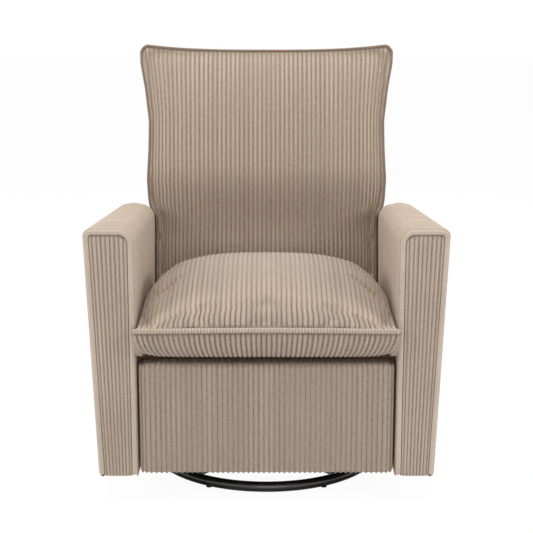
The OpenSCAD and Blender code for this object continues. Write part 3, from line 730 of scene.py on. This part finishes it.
def cushion_lining(upper, lower):
    """Smooth cloth: a flat bottom, and a rear and two sides ruled down to it from the covers' edges."""
    x = np.linspace(-1, 1, 45)[None, :] * (HALF_CUSHION - 6 * MM)
    y = np.linspace(WELT_Y + 34 * MM, SEAT_REAR, 20)[:, None]
    sheets = [(surface(x, y, SEAT_FOOT), 0.2, LINING, True)]
    edge = upper[0]
    columns = len(edge)
    drop = shares(12)
    bottom = np.stack([edge[:, 0], np.full(columns, SEAT_REAR), np.full(columns, SEAT_FOOT)], axis=1)
    rear = between(edge[None], bottom[None], drop[..., None])
    rear[..., 1] += 4 * MM * np.sin(np.pi * drop)
    sheets.append((rear, 0.2, LINING, False))
    for side in (0, -1):
        edge = np.concatenate([upper[:, side], lower[1:, side]])
        bottom = edge.copy()
        bottom[:, 2] = SEAT_FOOT
        bottom[:, 1] = np.maximum(bottom[:, 1], WELT_Y + 30 * MM)
        cheek = between(edge[None], bottom[None], shares(10)[..., None])
        sheets.append((cheek, 0.25, LINING, side == 0))
    return sheets


def cushion_welt():
    """The knobbled welt: a tube along the nose, drawn back at its two ends with r^6."""
    x = np.linspace(-NOSE_HALF + 1 * MM, NOSE_HALF - 1 * MM, 620)
    r = np.abs(x) / NOSE_HALF
    path = surface(x, WELT_Y + 1 * MM + 5 * MM * r ** 6, welt_line(r))
    welt, groove = tube(path, WELT_R, 12, 0.2, WALE * 0.6)
    return [(welt, groove * 0.8, WELT_PAINTED_SHEEN, False)]


def cushion_sheets():
    """Every sheet of the seat cushion."""
    covers = cushion_covers()
    return covers + cushion_lining(covers[0][0], covers[1][0]) + cushion_welt()


# ---- Back cushion ----
PILLOW_WALES, BOXING_WALES = 56, 8
PILLOW_FOOT = 15 * MM
PILLOW_TOP = (PILLOW_HIGH.z - BACK_Z - math.sin(LEAN) * 124 * MM * 0.635) / math.cos(LEAN)
PILLOW_DIP = 16 * MM
PILLOW_EDGE = 92 * MM                    # thickness at its sides
PILLOW_FULL = 134 * MM                   # and in its middle
PILLOW_WIDTHS = ((0, -6), (0.29, -6), (0.325, 9), (0.36, 13), (0.45, 16), (0.58, 12), (0.7, 11), (0.84, 21),
                 (0.95, 33), (1, 34))


def pillow_half(v):
    """Half-width at a share v of the height: between the arms, then swelling above them to the ears."""
    at, out = np.array(PILLOW_WIDTHS).T
    raw = np.interp(np.linspace(0, 1, 201), at, HALF_SEAT + out * MM)
    window = np.hanning(11)[1:-1]
    soft = np.convolve(np.pad(raw, 4, mode="edge"), window / window.sum(), "valid")
    return np.interp(v, np.linspace(0, 1, 201), soft)


def pillow_face(rows, columns, thick_edge, thick_full, power=3.2):
    """A panel of the back cushion in the back's own frame. Wales near the middle run straight up and
    those near the sides follow the outline; the top edge dips between its two ears."""
    u = np.linspace(-1, 1, columns)[None, :]
    v = shares(rows)
    middle = HALF_SEAT + 8 * MM
    crowded = 1.08 * u - 0.08 * u * np.abs(u) ** 6
    x = crowded * middle + np.sign(u) * np.abs(u) ** 5 * (pillow_half(v) - middle)
    corner = 18 * MM * np.clip((np.abs(u) - 0.93) / 0.07, 0, 1) ** 2.5
    top = PILLOW_TOP - PILLOW_DIP * (1 - np.abs(u) ** 3) - corner
    s = between(PILLOW_FOOT, top, v)
    full = (1 - np.abs(u) ** power) ** 0.6 * (1 - np.abs(2 * v - 1) ** 3.4) ** 0.55
    foot = between(0.72, 1, ease((v - 0.2) / 0.3))
    return surface(x, -between(thick_edge, thick_full, full) * foot, s)


def rim(grid):
    """The edge of a panel: up one side, along the top and down the other."""
    return np.concatenate([grid[:, 0], grid[-1, 1:-1], grid[::-1, -1]])


def pillow_sheets():
    """Every sheet of the back cushion: the plumped front, darkened by painted shade in the seam along its rim, a
    flat back, the boxing ruled between their rims and swollen outwards by a sine, the piping along the front's
    rim, painted darker as shade, and a smooth bottom."""
    wale = wales(PILLOW_WALES)
    columns, rows = len(wale), 110
    coarse = pillow_face(48, 45, PILLOW_EDGE, PILLOW_FULL)
    shift = plumped(coarse, 9 * MM, 4.0, 0.02)
    base = pillow_face(rows, columns, PILLOW_EDGE, PILLOW_FULL) + grow(shift, rows, columns)
    v = shares(rows)
    edge = np.minimum((1 - v) * 0.6, (1 - np.abs(np.linspace(-1, 1, columns))[None, :]) * HALF_SEAT)
    face, groove = ribbed(base, wale, -1, fade=ease(edge / (3.5 * MM) + 0.15))
    # painted shade: a dark band in the seam along the front's rim, beside the piping
    groove = np.maximum(np.clip(1.25 * groove, 0, 1), 0.85 * (1 - ease(edge / (4 * MM))))
    sheets = [(face, groove, PILE, True)]
    back = pillow_face(30, 60, 2 * MM, 1.5 * MM)
    sheets.append((back, 0.2, LINING, False))

    front_rim = even_path(rim(base), 6 * MM)
    back_flat = front_rim.copy()
    back_flat[:, 1] = -2 * MM
    wale = wales(BOXING_WALES)
    share = (wale / BOXING_WALES)[None, :, None]
    boxing = between(front_rim[:, None], back_flat[:, None], share)
    outward = front_rim - np.array([0, 0, 0.3])
    outward[:, 1] = 0
    outward /= np.linalg.norm(outward, axis=1, keepdims=True)
    boxing = boxing + outward[:, None] * (5 * MM * np.sin(np.pi * share))
    boxing, groove = ribbed(boxing, wale, 1, rise=WALE_RISE * 0.7)
    sheets.append((boxing, groove, PILE, False))
    bead, groove = tube(even_path(rim(base) + np.array([0, -1 * MM, 0]), 3.5 * MM), 3.4 * MM, 10)
    sheets.append((bead, 0.15, PIPING_PAINTED_SHADE, False))
    foot = base[0].copy()
    foot[:, 1] = -2 * MM
    bottom = between(base[0][None], foot[None], shares(6)[..., None])
    sheets.append((bottom, 0.2, LINING, False))
    return [(leaning(grid), groove, material, flip) for grid, groove, material, flip in sheets]


# ---- Make the soft pieces ----
RIGHT_ARM = arm_cover() + arm_sides() + arm_strip() + arm_face()
make_piece("arm_right_corduroy", RIGHT_ARM, "seat", ["arm_cover_right"])
make_piece("arm_left_corduroy", mirrored(RIGHT_ARM), "seat", ["arm_cover_left"])
make_piece("seat_cushion_corduroy", cushion_sheets(), "seat", ["seat_cushion"])
make_piece("back_cushion_corduroy", pillow_sheets(), "back", ["back_pillow"])
make_piece("footrest_corduroy", boxed_sheets(PAD_LOW, PAD_HIGH, 14 * MM, -1, crown=3 * MM), "footrest",
           ["footrest_pad"])
make_piece("rear_apron_corduroy", boxed_sheets(APRON_LOW, APRON_HIGH, 8 * MM, 1), "seat", ["rear_apron"])
OUTSIDE_LOW = (-HALF_SEAT + 4 * MM, -12 * MM, -44 * MM)
OUTSIDE_HIGH = (HALF_SEAT - 4 * MM, 64.3 * MM, 600 * MM)
make_piece("outside_back_corduroy", boxed_sheets(OUTSIDE_LOW, OUTSIDE_HIGH, 12 * MM, 1, leaning), "back",
           ["outside_back"])


# ---- Studio ----
WHITE = (1, 1, 1, 1)
FLOOR_PAINT = (0.86, 0.86, 0.86, 1)
FLOOR_HALF = 12.0                        # half the floor's width
WORLD_LIGHT = 0.38                       # strength of the light all round
FLOOR_GLOW = 0.93                        # share of plain glow in the floor the camera sees
GLOW_STRENGTH = 1.03
LAMPS = (("key_above", (-0.2, -0.2, 3.2), 1.8, 38), ("left_side", (-3.0, -1.2, 1.9), 1.5, 44),
         ("right_side", (3.0, -1.2, 1.9), 1.5, 44), ("rear_above", (0.2, 2.4, 2.4), 1.8, 30),
         ("front_fill", (0.3, -3.8, 0.9), 2.0, 12))      # name, place, size, watts
LAMP_AIM = (0, 0, 0.5)
LENS, SENSOR = 94.56, 36                 # in millimetres
EYE = (0, -3.372, 1.250)
LOOK_DOWN = 13.2                         # degrees under level


def surroundings():
    """A world that lights evenly, and is plain white to the camera and in reflections."""
    m = Maker(bpy.data.worlds.new("studio"))
    bpy.context.scene.world = m.owner
    eye, gloss, through = (m.node("ShaderNodeLightPath", output=f"Is {ray} Ray")
                           for ray in ("Camera", "Glossy", "Transmission"))
    seen = m.larger(eye, m.larger(gloss, through))
    air = m.node("ShaderNodeBackground", inputs={"Color": WHITE, "Strength": WORLD_LIGHT})
    white = m.node("ShaderNodeBackground", inputs={"Color": WHITE})
    both = m.node("ShaderNodeMixShader", inputs={0: seen, 1: air, 2: white})
    m.node("ShaderNodeOutputWorld", inputs={"Surface": both})


def floor_piece():
    """A wide floor: to the camera mostly a plain glow, with enough paint in it to keep the shadow."""
    m = Maker(bpy.data.materials.new("studio_floor"))
    eye = m.node("ShaderNodeLightPath", output="Is Camera Ray")
    paint = m.node("ShaderNodeBsdfDiffuse", inputs={"Color": FLOOR_PAINT})
    glow = m.node("ShaderNodeEmission", inputs={"Color": WHITE, "Strength": GLOW_STRENGTH})
    both = m.node("ShaderNodeMixShader", inputs={0: eye * FLOOR_GLOW, 1: paint, 2: glow})
    m.node("ShaderNodeOutputMaterial", inputs={"Surface": both})
    mesh = bpy.data.meshes.new("floor")
    corners = [(x * FLOOR_HALF, y * FLOOR_HALF, 0) for x, y in ((-1, -1), (1, -1), (1, 1), (-1, 1))]
    mesh.from_pydata(corners, [], [(0, 1, 2, 3)])
    mesh.materials.append(m.owner)
    floor = bpy.data.objects.new("floor", mesh)
    bpy.context.scene.collection.objects.link(floor)


def lamps():
    """Round soft lamps, each turned to the middle of the chair."""
    for name, where, size, power in LAMPS:
        lamp = bpy.data.lights.new(name, "AREA")
        lamp.shape, lamp.size, lamp.energy = "DISK", size, power
        holder = bpy.data.objects.new(name, lamp)
        holder.location = where
        aim = Vector(LAMP_AIM) - Vector(where)
        holder.rotation_euler = aim.to_track_quat("-Z", "Y").to_euler()
        bpy.context.scene.collection.objects.link(holder)


def camera():
    """Long lens in front of the chair, a little above it and looking slightly down."""
    lens = bpy.data.cameras.new("camera")
    lens.lens, lens.sensor_width = LENS, SENSOR
    view = bpy.data.objects.new("camera", lens)
    view.location = EYE
    view.rotation_euler = (math.radians(90 - LOOK_DOWN), 0, 0)
    bpy.context.scene.collection.objects.link(view)
    bpy.context.scene.camera = view


bpy.context.scene.view_settings.view_transform = "Standard"
camera()
surroundings()
floor_piece()
lamps()
